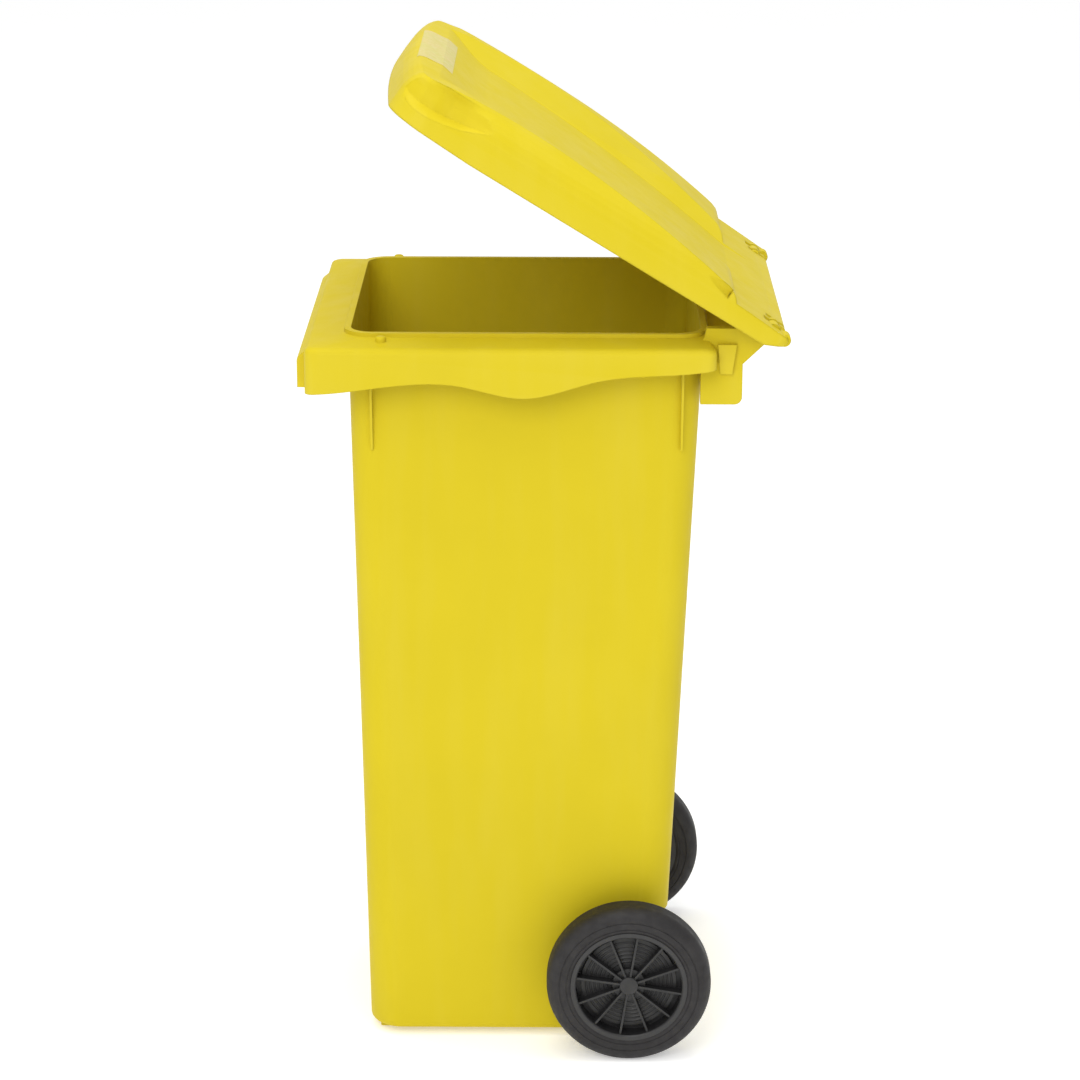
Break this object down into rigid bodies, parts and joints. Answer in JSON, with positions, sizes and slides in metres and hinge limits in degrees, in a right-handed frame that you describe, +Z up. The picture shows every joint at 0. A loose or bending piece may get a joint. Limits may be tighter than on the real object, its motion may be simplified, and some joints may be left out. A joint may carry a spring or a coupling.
{
  "type": "wheelie bin",
  "caption": "Two-wheeled refuse bin: tapered tub with comb-lift rim, rear handle bar, hinged domed lid standing part open, and spoked wheels on a steel axle.",
  "frame": {"origin": "on the ground, at the middle of the width and of the overall depth", "axes": "+Z up; -Y towards the comb-lift front, +Y towards the hinge, handle and wheels; X across, symmetric"},
  "size_m": [0.48, 0.5658, 1.2092],
  "materials": {
    "bin_plastic": "satin moulded polyethylene",
    "lid_plastic": "satin moulded polyethylene",
    "label": "matt film, blank",
    "axle_steel": "zinc plated",
    "pin_plastic": "satin",
    "washer_steel": "zinc plated",
    "tyre": "matt rubber",
    "hub_plastic": "satin moulded",
    "bush_plastic": "smooth",
    "latch_steel": "turned",
    "spring_steel": "drawn wire",
    "plug_plastic": "smooth"
  },
  "bodies": {
    "bin": {"bin_body": "bin_plastic", "axle": "axle_steel", "hinge_pin_right": "pin_plastic", "hinge_pin_left": "pin_plastic", "axle_washer_right": "washer_steel", "axle_washer_left": "washer_steel"},
    "lid": {"lid": "lid_plastic", "lid_label": "label"},
    "wheel_right": {"wheel_hub_right": "hub_plastic", "tyre_right": "tyre", "hub_bush_right": "bush_plastic", "lock_plug_right": "plug_plastic", "lock_spring_right": "spring_steel"},
    "latch_right": {"lock_pin_right": "latch_steel"},
    "wheel_left": {"wheel_hub_left": "hub_plastic", "tyre_left": "tyre", "hub_bush_left": "bush_plastic", "lock_plug_left": "plug_plastic", "lock_spring_left": "spring_steel"},
    "latch_left": {"lock_pin_left": "latch_steel"}
  },
  "joints": [
    {"name": "lid_hinge", "type": "hinge", "parent": "bin", "child": "lid", "pos_m": [0, 0.26261, 0.914], "axis": [-1, 0, 0], "range_deg": [-31.6, 233.4]},
    {"name": "wheel_right_spin", "type": "hinge", "parent": "bin", "child": "wheel_right", "pos_m": [0.2115, 0.10661, 0.1], "axis": [1, 0, 0], "continuous": true},
    {"name": "lock_pin_right_slide", "type": "slide", "parent": "wheel_right", "child": "latch_right", "axis": [0, 0, 1], "range_m": [0, 0.003], "stiffness_N_per_m": 600, "springref_m": -0.002, "deforming": ["lock_spring_right"]},
    {"name": "wheel_left_spin", "type": "hinge", "parent": "bin", "child": "wheel_left", "pos_m": [-0.2115, 0.10661, 0.1], "axis": [1, 0, 0], "continuous": true},
    {"name": "lock_pin_left_slide", "type": "slide", "parent": "wheel_left", "child": "latch_left", "axis": [0, 0, 1], "range_m": [0, 0.003], "stiffness_N_per_m": 600, "springref_m": -0.002, "deforming": ["lock_spring_left"]}
  ]
}
